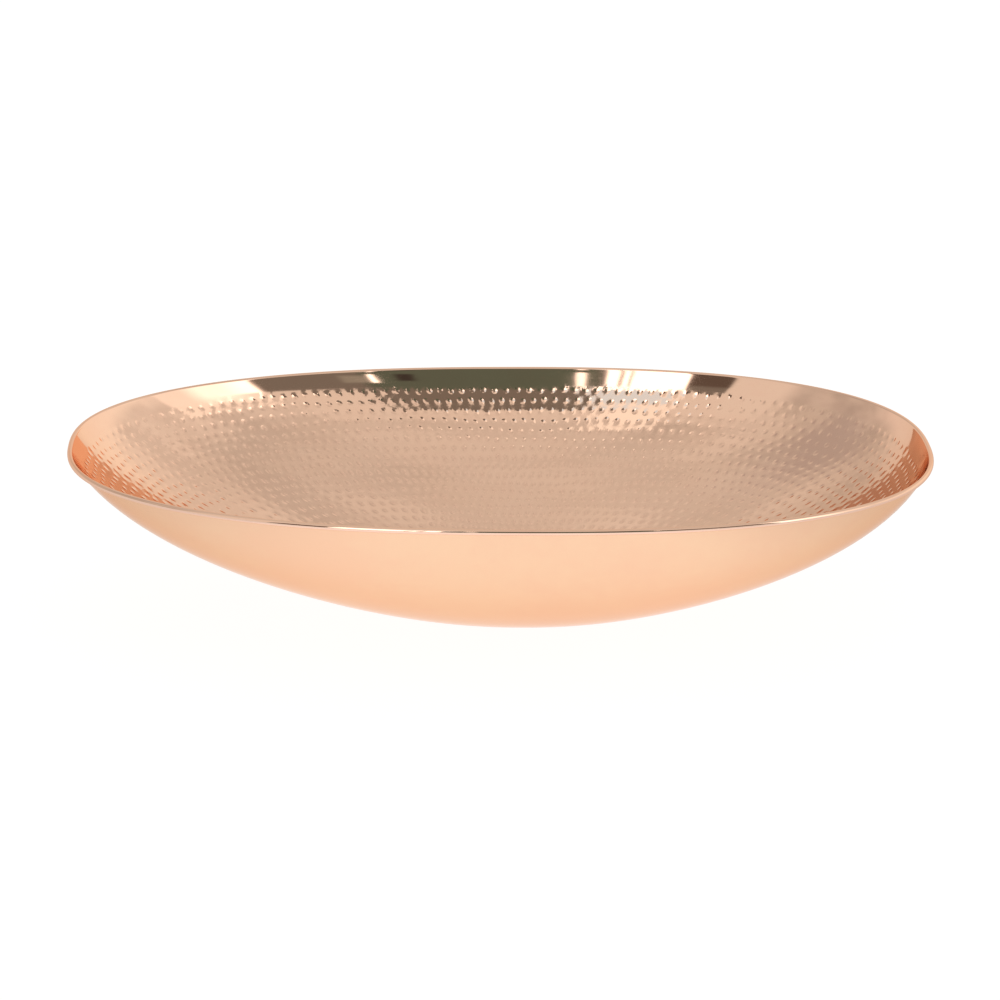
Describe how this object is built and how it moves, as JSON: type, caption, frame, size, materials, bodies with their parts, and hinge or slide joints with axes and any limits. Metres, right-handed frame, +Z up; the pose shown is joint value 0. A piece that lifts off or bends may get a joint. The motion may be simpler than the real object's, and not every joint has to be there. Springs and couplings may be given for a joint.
{
  "type": "hammered copper tray",
  "caption": "Oval boat-shaped hammered copper tray with a smooth polished outside and a rolled wired rim, standing on its rounded base.",
  "frame": {"origin": "on the surface the tray stands on, under the middle of its outline", "axes": "+X along the tray's length towards its slightly fuller end, +Y across it, +Z up"},
  "size_m": [0.56, 0.3648, 0.113],
  "materials": {
    "copper": "polished copper, hammered inside",
    "wire_steel": "plain drawn wire"
  },
  "bodies": {
    "root": {"hammered_bowl": "copper", "rim_wire": "wire_steel"}
  },
  "joints": []
}
